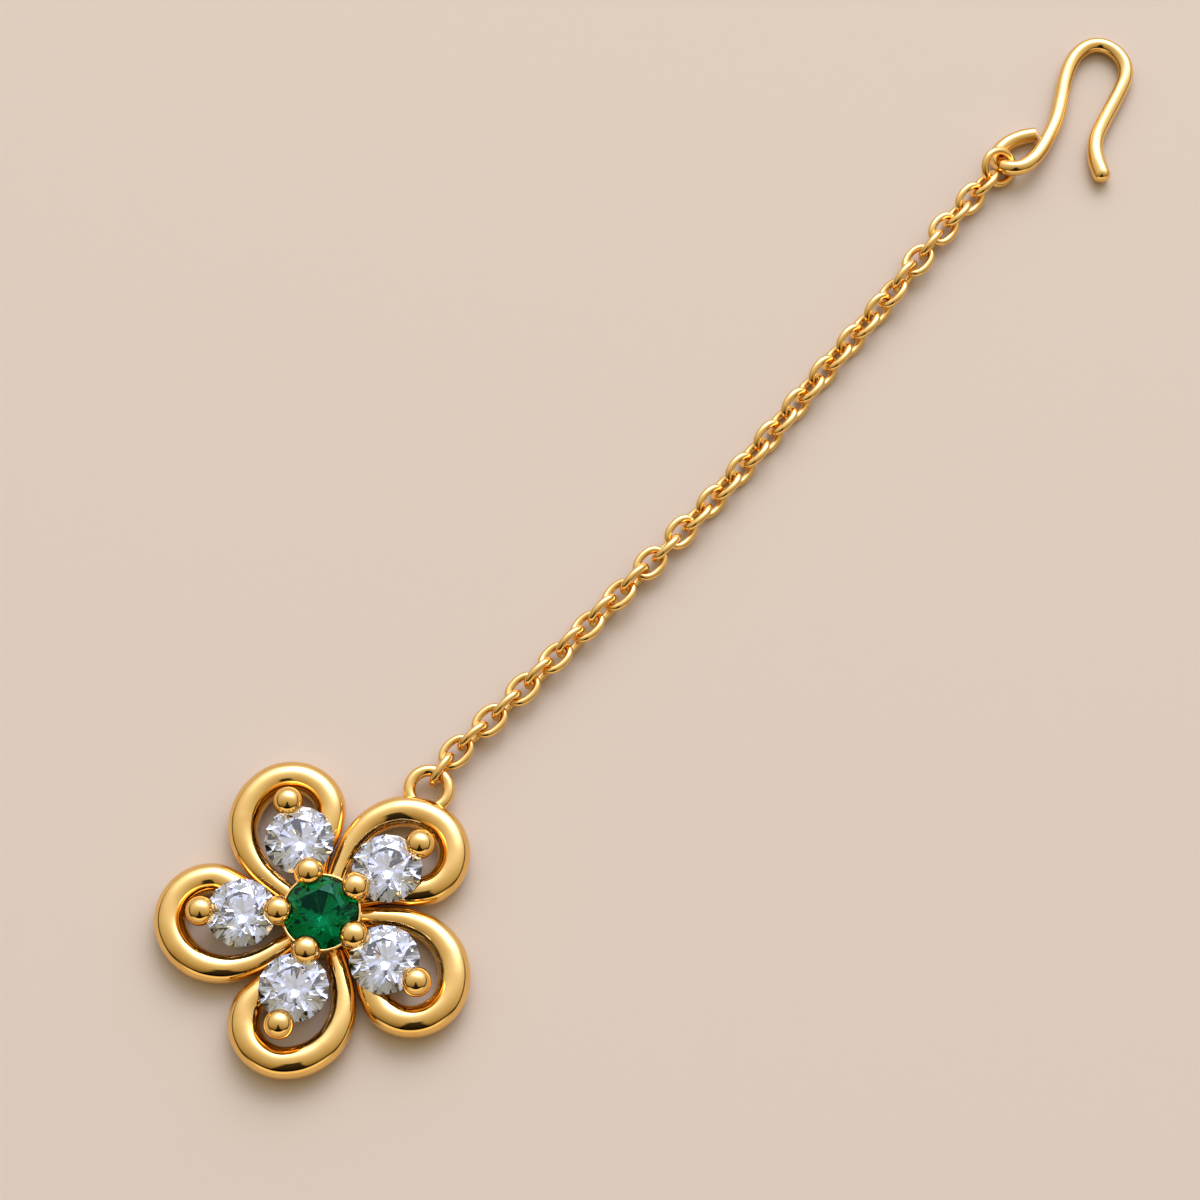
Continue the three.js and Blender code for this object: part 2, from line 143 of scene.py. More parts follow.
# Centreline of the hook's wire, with the part's own shares of its length, width and rise.
HOOK_ROUTE = [
    {"along": 0.286, "side": 0.031, "rise": 0.00},
    {"along": 0.229, "side": -0.044, "rise": 0.00},
    {"along": 0.163, "side": -0.098, "rise": 0.00},
    {"along": 0.101, "side": -0.118, "rise": 0.00},
    {"along": 0.054, "side": -0.108, "rise": 0.00},
    {"along": 0.016, "side": -0.058, "rise": 0.22},
    {"along": 0.000, "side": 0.019, "rise": 0.62},
    {"along": 0.009, "side": 0.100, "rise": 1.00},
    {"along": 0.047, "side": 0.172, "rise": 1.10},
    {"along": 0.112, "side": 0.204, "rise": 1.00},
    {"along": 0.201, "side": 0.199, "rise": 0.70},
    {"along": 0.315, "side": 0.156, "rise": 0.40},
    {"along": 0.431, "side": 0.096, "rise": 0.20},
    {"along": 0.555, "side": -0.007, "rise": 0.05},
    {"along": 0.668, "side": -0.113, "rise": 0.00},
    {"along": 0.764, "side": -0.179, "rise": 0.00},
    {"along": 0.850, "side": -0.201, "rise": 0.00},
    {"along": 0.924, "side": -0.174, "rise": 0.00},
    {"along": 0.976, "side": -0.101, "rise": 0.00},
    {"along": 0.999, "side": 0.009, "rise": 0.00},
    {"along": 0.994, "side": 0.126, "rise": 0.00},
    {"along": 0.962, "side": 0.234, "rise": 0.00},
    {"along": 0.904, "side": 0.311, "rise": 0.00},
    {"along": 0.820, "side": 0.361, "rise": 0.00},
    {"along": 0.599, "side": 0.454, "rise": 0.00},
    {"along": 0.507, "side": 0.501, "rise": 0.02},
    {"along": 0.436, "side": 0.573, "rise": 0.06},
    {"along": 0.380, "side": 0.671, "rise": 0.12},
    {"along": 0.333, "side": 0.790, "rise": 0.15},
]

# Camera, fitted to the photograph
CAMERA_AZIMUTH = math.radians(41)
CAMERA_ELEVATION = math.radians(70)
CAMERA_LENS = 100
CAMERA_SENSOR = 36
CAMERA_CLIP = (0.01, 20)
CAMERA_DISTANCE = 245.9
CAMERA_TARGET_FROM_FLOWER = (-1.169, 31.344)

FLOOR_COLOUR = (0.635, 0.525, 0.36, 1)
FLOOR_SIZE = 6000
FLOOR_ROUGHNESS = 0.9

# Gold: a haze that takes its colour and roughness from the first value to the second, and a ripple.
# Scales are in cycles a metre and the ripple's depth is in metres.
GOLD_COLOURS = ((0.90, 0.55, 0.16, 1), (0.93, 0.60, 0.19, 1))
GOLD_ROUGHNESS = (0.03, 0.07)
HAZE_SCALE = 900
HAZE_DETAIL = 3
HAZE_RANGE = (0.3, 0.7)
RIPPLE_SCALE = 420
RIPPLE_DETAIL = 2
RIPPLE_STRENGTH = 0.05
RIPPLE_DEPTH = 0.00005

# Stones: colour, refraction and the tint of their surface's mirror image
GREEN_STONE = {"colour": (0.0, 0.15, 0.035, 1), "ior": 1.8, "tint": (0.05, 0.30, 0.16, 1)}
WHITE_STONE = {"colour": (0.80, 0.85, 0.95, 1), "ior": 2.4, "tint": (1, 1, 1, 1)}

# Directions on the floor that point right and up in the photograph
PICTURE_RIGHT = Vector((math.cos(CAMERA_AZIMUTH), math.sin(CAMERA_AZIMUTH), 0))
PICTURE_UP = Vector((-math.sin(CAMERA_AZIMUTH), math.cos(CAMERA_AZIMUTH), 0))
KEY_DIRECTION = (PICTURE_UP * 0.75 + PICTURE_RIGHT * 0.10 + UP * 0.66).normalized()

# Shade of the studio's dome by how near a direction is to the key's, from -1 to 1. The last two
# columns are the shade's green and blue, as shares of its red.
DOME = [
    {"near": -0.998, "shade": 0.10, "green": 0.64, "blue": 0.28},
    {"near": -0.35, "shade": 0.20, "green": 0.72, "blue": 0.36},
    {"near": 0.00, "shade": 0.35, "green": 0.80, "blue": 0.48},
    {"near": 0.30, "shade": 0.54, "green": 0.87, "blue": 0.64},
    {"near": 0.50, "shade": 0.63, "green": 0.92, "blue": 0.78},
    {"near": 0.65, "shade": 0.73, "green": 0.96, "blue": 0.95},
    {"near": 0.75, "shade": 0.84, "green": 0.99, "blue": 1.08},
    {"near": 0.85, "shade": 1.04, "green": 1.02, "blue": 1.25},
    {"near": 0.92, "shade": 1.60, "green": 1.05, "blue": 1.45},
    {"near": 0.96, "shade": 2.80, "green": 1.05, "blue": 1.60},
    {"near": 0.998, "shade": 3.60, "green": 1.05, "blue": 1.60},
]
DOME_PEAK = 3.6
# Added to "near" times the square of how far a direction points aside, so that the bright zone is
# wider than it is high
DOME_WIDTH = 0.3

# Dark stand behind the camera: a triangle that opens towards the floor. A pair of numbers here and
# below holds the start and the end of a soft edge, on a dome of radius 1.
STAND_TOP = 1.08
STAND_SPREAD = 0.60
STAND_SHADE = 0.09
STAND_EDGE = (-0.05, 0.05)
STAND_REACH = (-0.35, -0.25)

# Dark line above the horizon, lifted and darkest towards the camera, and the pale board below it
CAMERA_SIDE = (-0.8, -0.3)
FAR_SIDE = (0.2, 0.7)
LINE_LIFT = 0.33
LINE_EDGE = (0.04, 0.28)
LINE_SHADE = 0.05
LINE_SHADE_FAR = 0.85
BOARD_EDGE = (-0.06, 0.02)
BOARD_COLOUR = (0.30, 0.26, 0.20, 1)

# Places of a colour mix node's sockets, which share their names with the number sockets
MIX_FIRST = 6
MIX_SECOND = 7
MIX_RESULT = 2

# Key lamp, in metres and watts
KEY_DISTANCE = 0.6
KEY_SIZE = (0.35, 0.35)
KEY_POWER = 0.9
KEY_COLOUR = (1, 0.97, 0.92)


# Meshes

def mesh_object(name, points, faces, smooth=True):
    """A new object from points in millimetres."""
    mesh = bpy.data.meshes.new(name)
    mesh.from_pydata([Vector(point) * MM for point in points], [], faces)
    mesh.polygons.foreach_set("use_smooth", [smooth] * len(mesh.polygons))
    mesh.update()
    piece = bpy.data.objects.new(name, mesh)
    bpy.context.scene.collection.objects.link(piece)
    return piece


def spline(rows, count):
    """Points on the centripetal Catmull-Rom curve through rows of numbers.

    The first three numbers of a row are a place, and the rest, such as a thickness, go straight
    from row to row.
    """
    rows = np.array(rows, float)
    places = rows[:, :3]
    ends = np.vstack([2 * places[0] - places[1], places, 2 * places[-1] - places[-2]])
    samples = []
    for step in range(count + 1):
        at = step / count * (len(rows) - 1)
        row = min(int(at), len(rows) - 2)
        share = at - row
        four = ends[row:row + 4]
        gaps = np.sqrt(np.linalg.norm(np.diff(four, axis=0), axis=1))
        t0, t1, t2, t3 = np.concatenate([[0], np.cumsum(gaps)])
        t = t1 + share * (t2 - t1)
        a1 = (t1 - t) / (t1 - t0) * four[0] + (t - t0) / (t1 - t0) * four[1]
        a2 = (t2 - t) / (t2 - t1) * four[1] + (t - t1) / (t2 - t1) * four[2]
        a3 = (t3 - t) / (t3 - t2) * four[2] + (t - t2) / (t3 - t2) * four[3]
        b1 = (t2 - t) / (t2 - t0) * a1 + (t - t0) / (t2 - t0) * a2
        b2 = (t3 - t) / (t3 - t1) * a2 + (t - t1) / (t3 - t1) * a3
        place = (t2 - t) / (t2 - t1) * b1 + (t - t1) / (t2 - t1) * b2
        rest = rows[row, 3:] * (1 - share) + rows[row + 1, 3:] * share
        samples.append(np.concatenate([place, rest]))
    return np.array(samples)


def wire_sweep(name, centres, radii, sides, height=1.0, closed=False,
               end_round=(WIRE_END_ROUND, WIRE_END_ROUND)):
    """A wire along centres in millimetres. height stretches its section along Z, and end_round
    holds the shares of the radius by which an open wire's two ends are rounded."""
    centres = [Vector(centre) for centre in centres]
    count = len(centres)
    rings = []
    for index, centre in enumerate(centres):
        if closed:
            tangent = centres[(index + 1) % count] - centres[index - 1]
        else:
            tangent = centres[min(index + 1, count - 1)] - centres[max(index - 1, 0)]
        tangent.normalize()
        side = tangent.cross(UP).normalized()
        lift = side.cross(tangent)
        rings.append((centre, side, lift, tangent, radii[index]))
    if not closed:
        first, last = rings[0], rings[-1]
        rings = end_rings(first, -1, end_round[0])[::-1] + rings + end_rings(last, 1, end_round[1])
    points = []
    for centre, side, lift, _, radius in rings:
        for step in range(sides):
            angle = 2 * math.pi * step / sides
            spoke = side * math.cos(angle) + lift * math.sin(angle) * height
            points.append(centre + spoke * radius)
    total = len(rings)
    faces = []
    for ring in range(total if closed else total - 1):
        following = (ring + 1) % total
        for step in range(sides):
            turned = (step + 1) % sides
            faces.append((ring * sides + step, ring * sides + turned,
                          following * sides + turned, following * sides + step))
    if not closed:
        faces.append(tuple(reversed(range(sides))))
        faces.append(tuple((total - 1) * sides + step for step in range(sides)))
    piece = mesh_object(name, points, faces)
    outward(piece)
    return piece


def end_rings(ring, direction, end_round):
    """Rings that round off a wire's end."""
    centre, side, lift, tangent, radius = ring
    reach = radius * end_round
    rings = []
    for step in range(1, END_STEPS + 1):
        angle = math.pi / 2 * step / END_STEPS
        shrunk = radius - reach * (1 - math.cos(angle))
        moved = centre + tangent * direction * reach * math.sin(angle)
        rings.append((moved, side, lift, tangent, shrunk))
    return rings


def outward(piece):
    """Turns every face of a closed mesh outwards."""
    build = bmesh.new()
    build.from_mesh(piece.data)
    bmesh.ops.recalc_face_normals(build, faces=build.faces)
    build.to_mesh(piece.data)
    build.free()


def oval_ring(name, length, width, wire, steps, sides, shoulder=0.0, centre=(0, 0, 0)):
    """An oval ring in the XY plane, long axis along Y. A shoulder makes its ends rounder."""
    centres = []
    for step in range(steps):
        angle = 2 * math.pi * step / steps
        fuller = 1 + shoulder * math.sin(angle) ** 2
        across = (width - wire) / 2 * math.sin(angle)
        along = (length - wire) / 2 * math.cos(angle) * fuller
        centres.append(Vector(centre) + Vector((across, along, 0)))
    return wire_sweep(name, centres, [wire / 2] * steps, sides, closed=True)


def round_ring(name, diameter, wire, centre=(0, 0, 0)):
    return oval_ring(name, diameter, diameter, wire, RING_STEPS, RING_SIDES, centre=centre)


def turned_piece(name, outline, segments, centre):
    """A solid of revolution about Z from an outline of (radius, height) that starts and ends on the
    axis."""
    points = []
    faces = []
    inner = outline[1:-1]
    for radius, height in inner:
        for step in range(segments):
            angle = 2 * math.pi * step / segments
            points.append((centre[0] + radius * math.cos(angle),
                           centre[1] + radius * math.sin(angle), centre[2] + height))
    for row in range(len(inner) - 1):
        for step in range(segments):
            turned = (step + 1) % segments
            faces.append((row * segments + step, row * segments + turned,
                          (row + 1) * segments + turned, (row + 1) * segments + step))
    first = len(points)
    points.append((centre[0], centre[1], centre[2] + outline[0][1]))
    points.append((centre[0], centre[1], centre[2] + outline[-1][1]))
    last_row = (len(inner) - 1) * segments
    for step in range(segments):
        turned = (step + 1) % segments
        faces.append((first, turned, step))
        faces.append((first + 1, last_row + step, last_row + turned))
    piece = mesh_object(name, points, faces)
    outward(piece)
    return piece


def bead_outline(radius):
    """Half circle from the bottom to the top of a bead."""
    steps = BEAD_SEGMENTS // 2
    angles = [-math.pi / 2 + math.pi * step / steps for step in range(steps + 1)]
    return [(radius * math.cos(angle), radius * math.sin(angle)) for angle in angles]


def circle(count, radius, height, first=0.0):
    angles = [2 * math.pi * (step + first) / count for step in range(count)]
    return [(radius * math.cos(angle), radius * math.sin(angle), height) for angle in angles]


def brilliant_mesh(name, diameter, centre, grow=0.0):
    """Round brilliant cut with flat facets: table, 8 stars, 8 kites and 16 upper facets on the
    crown, a girdle of 16, and 16 lower facets and 8 mains below it."""
    around = 2 * CUT_FOLDS
    radius = diameter / 2
    girdle = diameter * GIRDLE_SHARE / 2
    top = girdle + diameter * CROWN_SHARE
    culet = -girdle - diameter * PAVILION_SHARE
    table = radius * TABLE_SHARE
    half_step = math.cos(math.pi / CUT_FOLDS)
    kite_height = top - (top - girdle) * KITE_DROP
    kite_radius = (table + (radius - table) * KITE_DROP) / half_step
    lower_height = culet + (-girdle - culet) * LOWER_RISE
    lower_radius = radius * LOWER_RISE / half_step
    points = circle(CUT_FOLDS, table, top) + circle(CUT_FOLDS, kite_radius, kite_height, 0.5)
    points += circle(around, radius, girdle) + circle(around, radius, -girdle)
    points += circle(CUT_FOLDS, lower_radius, lower_height, 0.5) + [(0, 0, culet)]
    kite = CUT_FOLDS
    upper = kite + CUT_FOLDS
    under = upper + around
    lower = under + around
    tip = lower + CUT_FOLDS
    faces = [tuple(range(CUT_FOLDS))]
    for step in range(CUT_FOLDS):
        after = (step + 1) % CUT_FOLDS
        before = (step - 1) % CUT_FOLDS
        main = 2 * step
        middle = main + 1
        following = (main + 2) % around
        faces += [
            (step, kite + step, after),
            (step, kite + before, upper + main, kite + step),
            (kite + step, upper + main, upper + middle),
            (kite + step, upper + middle, upper + following),
            (lower + step, under + middle, under + main),
            (lower + step, under + following, under + middle),
            (tip, lower + step, under + main, lower + before),
        ]
    for step in range(around):
        after = (step + 1) % around
        faces.append((upper + step, under + step, under + after, upper + after))
    scale = (diameter + 2 * grow) / diameter
    placed = [Vector(centre) + Vector(point) * scale for point in points]
    piece = mesh_object(name, placed, faces, smooth=False)
    outward(piece)
    return piece


def join(name, pieces):
    """One object from several."""
    with bpy.context.temp_override(
        active_object=pieces[0], object=pieces[0],
        selected_objects=pieces, selected_editable_objects=pieces,
    ):
        bpy.ops.object.join()
    pieces[0].name = name
    pieces[0].data.name = name
    return pieces[0]


def cut(piece, cutters):
    """Takes the cutters' room out of a piece and keeps smooth surfaces smooth."""
    for cutter in cutters:
        change = piece.modifiers.new("seat", "BOOLEAN")
        change.operation = "DIFFERENCE"
        change.solver = "EXACT"
        change.object = cutter
    bpy.context.view_layer.update()
    final = piece.evaluated_get(bpy.context.evaluated_depsgraph_get())
    mesh = bpy.data.meshes.new_from_object(final)
    piece.modifiers.clear()
    old = piece.data
    piece.data = mesh
    bpy.data.meshes.remove(old)
    mesh.name = piece.name


# Places in the frame, in millimetres

def node_size(node):
    low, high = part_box(node)
    return (high - low) / MM


def node_frame(node):
    """Matrix that lays a ring made in the XY plane, long axis along Y, where a ring node lies."""
    corners = np.array([vertex.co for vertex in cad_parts[node].data.vertices], float)
    corners = np.unique(corners.round(9), axis=0)
    centre = corners.mean(0)
    _, axes = np.linalg.eigh(np.cov((corners - centre).T))
    normal = Vector(axes[:, 0])
    along = Vector(axes[:, 2])
    if along.y < 0:
        along.negate()
    across = along.cross(normal).normalized()
    matrix = Matrix((across, along, normal)).transposed().to_4x4()
    matrix.translation = Vector(centre)
    return matrix


# Materials

def material(name):
    made = bpy.data.materials.new(name)
    made.use_nodes = True
    nodes = made.node_tree.nodes
    return made, nodes, made.node_tree.links, nodes["Principled BSDF"]


def gold_material():
    """Mirror-polished yellow gold with faint polishing marks."""
    made, nodes, links, shader = material("polished_gold")
    shader.inputs["Metallic"].default_value = 1
    place = nodes.new("ShaderNodeTexCoord")
    haze = nodes.new("ShaderNodeTexNoise")
    haze.inputs["Scale"].default_value = HAZE_SCALE
    haze.inputs["Detail"].default_value = HAZE_DETAIL
    links.new(place.outputs["Object"], haze.inputs["Vector"])
    tint = nodes.new("ShaderNodeValToRGB")
    for stop, position, colour in zip(tint.color_ramp.elements, HAZE_RANGE, GOLD_COLOURS):
        stop.position = position
        stop.color = colour
    links.new(haze.outputs["Fac"], tint.inputs["Fac"])
    links.new(tint.outputs["Color"], shader.inputs["Base Color"])
    rough = nodes.new("ShaderNodeMapRange")
    rough.inputs["To Min"].default_value, rough.inputs["To Max"].default_value = GOLD_ROUGHNESS
    links.new(haze.outputs["Fac"], rough.inputs["Value"])
    links.new(rough.outputs["Result"], shader.inputs["Roughness"])
    ripple = nodes.new("ShaderNodeTexNoise")
    ripple.inputs["Scale"].default_value = RIPPLE_SCALE
    ripple.inputs["Detail"].default_value = RIPPLE_DETAIL
    links.new(place.outputs["Object"], ripple.inputs["Vector"])
    bump = nodes.new("ShaderNodeBump")
    bump.inputs["Strength"].default_value = RIPPLE_STRENGTH
    bump.inputs["Distance"].default_value = RIPPLE_DEPTH
    links.new(ripple.outputs["Fac"], bump.inputs["Height"])
    links.new(bump.outputs["Normal"], shader.inputs["Normal"])
    return made


def stone_material(name, colour, ior, tint):
    """Clear polished stone. Its facets do the rest."""
    made, _, _, shader = material(name)
    shader.inputs["Base Color"].default_value = colour
    shader.inputs["Transmission Weight"].default_value = 1
    shader.inputs["Roughness"].default_value = 0
    shader.inputs["IOR"].default_value = ior
    shader.inputs["Specular Tint"].default_value = tint
    return made


def floor_material():
    made, _, _, shader = material("pale_floor")
    shader.inputs["Base Color"].default_value = FLOOR_COLOUR
    shader.inputs["Roughness"].default_value = FLOOR_ROUGHNESS
    return made


def dress(piece, made, nodes):
    """Gives a finished piece its material and its body, and hides the imported nodes that it stands
    for.
    """
    piece.data.materials.clear()
    piece.data.materials.append(made)
    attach(piece, "root")
    for node in nodes:
        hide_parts(node)


# Pieces

def petal_wire(index, angle):
    rows = [(row["out"] * petal_reach, row["side"] * PETAL_HALF_WIDTH, 0, row["thick"])
            for row in PETAL_ROUTE]
    samples = spline(rows, PETAL_STEPS)
    turn = Matrix.Rotation(angle, 3, "Z")
    raised = Vector((flower.x, flower.y, PETAL_WIRE_HEIGHT / 2))
    centres = [turn @ Vector(sample[:3]) + raised for sample in samples]
    radii = [sample[3] * PETAL_WIRE_WIDTH / 2 for sample in samples]
    return wire_sweep(f"petal_wire_{index}", centres, radii, PETAL_SIDES,
                      height=PETAL_WIRE_HEIGHT / PETAL_WIRE_WIDTH)


def straight_wire(name, start, end, wire):
    """A round prong or rail, made upright and turned towards its end."""
    start, end = Vector(start), Vector(end)
    length = (end - start).length
    outline = [(0, 0), (wire / 2, 0), (wire / 2, length), (0, length)]
    piece = turned_piece(name, outline, RING_SIDES, (0, 0, 0))
    turn = UP.rotation_difference(end - start).to_matrix().to_4x4()
    piece.data.transform(Matrix.Translation(start * MM) @ turn)
    return piece


def from_flower(radius, angle, height=0.0):
    return Vector((flower.x + radius * math.cos(angle), flower.y + radius * math.sin(angle),
                   height))


def petal_setting(index, angle, seats):
    """Beads, prongs, rail and small ring that hold one petal's stone."""
    rail = GALLERY_WIRE / 2
    inner = from_flower(inner_bead_reach, angle, flower.z + BEAD_RISE)
    outer = from_flower(outer_bead_reach, angle, petal_girdle + BEAD_RISE)
    name = f"petal_setting_{index}"
    metal = [
        turned_piece(name, bead_outline(bead_radius), BEAD_SEGMENTS, inner),
        turned_piece("outer_bead", bead_outline(bead_radius), BEAD_SEGMENTS, outer),
        straight_wire("inner_prong", from_flower(inner_bead_reach, angle), inner, PRONG_WIRE),
        straight_wire("outer_prong", from_flower(stone_reach + GALLERY_RADIUS, angle, rail), outer,
                      PRONG_WIRE),
        straight_wire("rail", from_flower(collet_radius / 2, angle, rail),
                      from_flower(stone_reach - GALLERY_RADIUS, angle, rail), GALLERY_WIRE),
        round_ring("gallery", 2 * GALLERY_RADIUS + GALLERY_WIRE, GALLERY_WIRE,
                   from_flower(stone_reach, angle, rail)),
    ]
    for piece in metal:
        cut(piece, seats)
    return join(name, metal)


def collet():
    """Cup of the centre stone, with a thin rim round its girdle."""
    lip = flower.z + COLLET_RIM_RISE
    outline = [(0, 0), (collet_radius - COLLET_FOOT_ROUND, 0), (collet_radius, COLLET_FOOT_ROUND)]
    outline += [(collet_radius - row["inside"], lip - row["below"]) for row in COLLET_RIM]
    outline += [(COLLET_CUP_RADIUS, COLLET_CUP_HEIGHT), (0, COLLET_CUP_HEIGHT - COLLET_CUP_DIP)]
    return turned_piece("collet", outline, COLLET_SEGMENTS, (flower.x, flower.y, 0))


def bail():
    angle = petal_angles[BAIL_PETAL - 1] + BAIL_TURN
    centre = from_flower(petal_reach + BAIL_STANDOFF, angle, LINK_WIDTH / 2)
    return round_ring("bail", BAIL_DIAMETER, BAIL_WIRE, centre)


def build_flower():
    seats = [brilliant_mesh("centre_seat", centre_stone_size, flower, SEAT_CLEARANCE)]
    for index in range(1, PETAL_COUNT + 1):
        middle = stone_middle(f"petal_stone_{index}", petal_stone_size)
        seats.append(brilliant_mesh("petal_seat", petal_stone_size, middle, SEAT_CLEARANCE))
    pieces = [collet(), bail()]
    for index, angle in enumerate(petal_angles, start=1):
        wire = petal_wire(index, angle)
        setting = petal_setting(index, angle, seats)
        cut(wire, seats)
        pieces += [wire, setting]
    for seat in seats:
        bpy.data.objects.remove(seat)
    for piece in pieces:
        dress(piece, gold, ["flower_frame"])


def stone_middle(node, diameter):
    """Middle of a stone's girdle, from the node's box."""
    low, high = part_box(node)
    middle = (low + high) / 2 / MM
    top = high.z / MM
    return Vector((middle.x, middle.y, top - diameter * (CROWN_SHARE + GIRDLE_SHARE / 2)))


def build_stones():
    centre = brilliant_mesh("green_brilliant", centre_stone_size, flower)
    dress(centre, green, ["centre_stone"])
    for index in range(1, PETAL_COUNT + 1):
        node = f"petal_stone_{index}"
        middle = stone_middle(node, petal_stone_size)
        stone = brilliant_mesh(f"white_brilliant_{index}", petal_stone_size, middle)
        dress(stone, white, [node])


def build_chain():
    shared = oval_ring("link", LINK_LENGTH, LINK_WIDTH, LINK_WIRE, LINK_STEPS, LINK_SIDES,
                       LINK_SHOULDER)
    for index in range(1, LINK_COUNT + 1):
        node = f"chain_link_{index:02d}"
        link = shared.copy()
        link.data = shared.data.copy()
        link.name = f"link_{index:02d}"
        link.data.transform(node_frame(node))
        bpy.context.scene.collection.objects.link(link)
        dress(link, gold, [node])
    bpy.data.objects.remove(shared)
    ring = round_ring("smooth_jump_ring", JUMP_RING_DIAMETER, JUMP_RING_WIRE)
    ring.data.transform(node_frame("jump_ring"))
    dress(ring, gold, ["jump_ring"])


def build_hook():
    """The hook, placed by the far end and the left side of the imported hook's box."""
    rows = [(row["side"] * HOOK_WIDTH, row["along"] * HOOK_LENGTH,
             HOOK_WIRE / 2 + row["rise"] * HOOK_RISE) for row in HOOK_ROUTE]
    samples = spline(rows, HOOK_STEPS)
    low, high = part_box("hair_hook")
    shift = Vector((low.x / MM + HOOK_WIRE / 2 - samples[:, 0].min(),
                    high.y / MM - HOOK_WIRE / 2 - samples[:, 1].max(), 0)) + Vector(HOOK_SHIFT)
    centres = [Vector(sample) + shift for sample in samples]
    lengths = np.linalg.norm(np.diff(samples, axis=0), axis=1)
    shares = np.concatenate([[0], np.cumsum(lengths)]) / lengths.sum()
    radii = [(HOOK_WIRE + (HOOK_TIP - HOOK_WIRE) * smooth_step(share, HOOK_FLARE_START, 1)) / 2
             for share in shares]
    hook = wire_sweep("hook_wire", centres, radii, HOOK_SIDES,
                      end_round=(HOOK_CUT_END_ROUND, HOOK_TIP_ROUND))
    dress(hook, gold, ["hair_hook"])


def smooth_step(value, low, high):
    share = min(max((value - low) / (high - low), 0), 1)
    return share * share * (3 - 2 * share)


# Stage

def build_floor():
    half = FLOOR_SIZE / 2
    corners = [(-half, -half, 0), (half, -half, 0), (half, half, 0), (-half, half, 0)]
    floor = mesh_object("floor", corners, [(0, 1, 2, 3)])
    floor.data.materials.append(floor_material())


def build_camera():
    target = Vector((flower.x + CAMERA_TARGET_FROM_FLOWER[0],
                     flower.y + CAMERA_TARGET_FROM_FLOWER[1], 0))
    level = math.cos(CAMERA_ELEVATION)
    back = Vector((math.sin(CAMERA_AZIMUTH) * level, -math.cos(CAMERA_AZIMUTH) * level,
                   math.sin(CAMERA_ELEVATION)))
    lens = bpy.data.cameras.new("camera")
    lens.lens = CAMERA_LENS
    lens.sensor_width = CAMERA_SENSOR
    lens.clip_start, lens.clip_end = CAMERA_CLIP
    camera = bpy.data.objects.new("camera", lens)
    camera.location = (target + back * CAMERA_DISTANCE) * MM
    camera.rotation_euler = (-back).to_track_quat("-Z", "Y").to_euler()
    bpy.context.scene.collection.objects.link(camera)
    bpy.context.scene.camera = camera


def area_light(name, place, aim, size, power, colour):
    lamp = bpy.data.lights.new(name, "AREA")
    lamp.shape = "RECTANGLE"
    lamp.size, lamp.size_y = size
    lamp.energy = power
    lamp.color = colour
    light = bpy.data.objects.new(name, lamp)
    light.location = place
    light.rotation_euler = (Vector(aim) - Vector(place)).to_track_quat("-Z", "Y").to_euler()
    bpy.context.scene.collection.objects.link(light)


def node_maths(nodes, links, operation, *values):
    """A maths node fed by sockets or numbers, and its output."""
    node = nodes.new("ShaderNodeMath")
    node.operation = operation
    for socket, value in zip(node.inputs, values):
        if isinstance(value, bpy.types.NodeSocket):
            links.new(value, socket)
        else:
            socket.default_value = value
    return node.outputs["Value"]


def node_dot(nodes, links, vector, direction):
    node = nodes.new("ShaderNodeVectorMath")
    node.operation = "DOT_PRODUCT"
    links.new(vector, node.inputs[0])
    node.inputs[1].default_value = direction
    return node.outputs["Value"]


def node_step(nodes, links, value, edge, start=0.0, end=1.0):
    """Smooth step of a socket's value from start to end across an edge's two values."""
    node = nodes.new("ShaderNodeMapRange")
    node.interpolation_type = "SMOOTHSTEP"
    node.inputs["From Min"].default_value, node.inputs["From Max"].default_value = edge
    node.inputs["To Min"].default_value = start
    node.inputs["To Max"].default_value = end
    links.new(value, node.inputs["Value"])
    return node.outputs["Result"]


def dome_colour(nodes, links, near):
    """Colour of the dome, as a share of its peak, by how near a direction is to the key's."""
    ramp = nodes.new("ShaderNodeValToRGB")
    stops = ramp.color_ramp.elements
    for row in DOME:
        shade = row["shade"] / DOME_PEAK
        stop = stops.new((row["near"] + 1) / 2)
        stop.color = (shade, shade * row["green"], shade * row["blue"], 1)
    stops.remove(stops[0])
    stops.remove(stops[-1])
    links.new(node_maths(nodes, links, "MULTIPLY_ADD", near, 0.5, 0.5), ramp.inputs["Fac"])
    return ramp.outputs["Color"]


def stand_shade(nodes, links, height, ahead, aside):
    """1, and less where the dark stand is."""
    reach = node_maths(nodes, links, "MULTIPLY_ADD", height, STAND_SPREAD,
                       -STAND_TOP * STAND_SPREAD)
    beside = node_step(nodes, links, node_maths(nodes, links, "ADD", aside, reach), STAND_EDGE)
    away = node_step(nodes, links, ahead, STAND_REACH)
    clear = node_maths(nodes, links, "MAXIMUM", beside, away)
    return node_maths(nodes, links, "MAXIMUM", clear, STAND_SHADE)


def horizon_shades(nodes, links, height, ahead):
    """1, and less in the dark line above the horizon, and a second shade that is 1 on the board."""
    facing = node_step(nodes, links, ahead, CAMERA_SIDE, 1, 0)
    over = node_maths(nodes, links, "MULTIPLY_ADD", facing, -LINE_LIFT, height)
    least = node_step(nodes, links, ahead, FAR_SIDE, LINE_SHADE, LINE_SHADE_FAR)
    line = node_maths(nodes, links, "MAXIMUM", node_step(nodes, links, over, LINE_EDGE), least)
    below = node_step(nodes, links, over, BOARD_EDGE, 1, 0)
    return line, node_maths(nodes, links, "MULTIPLY", below, facing)


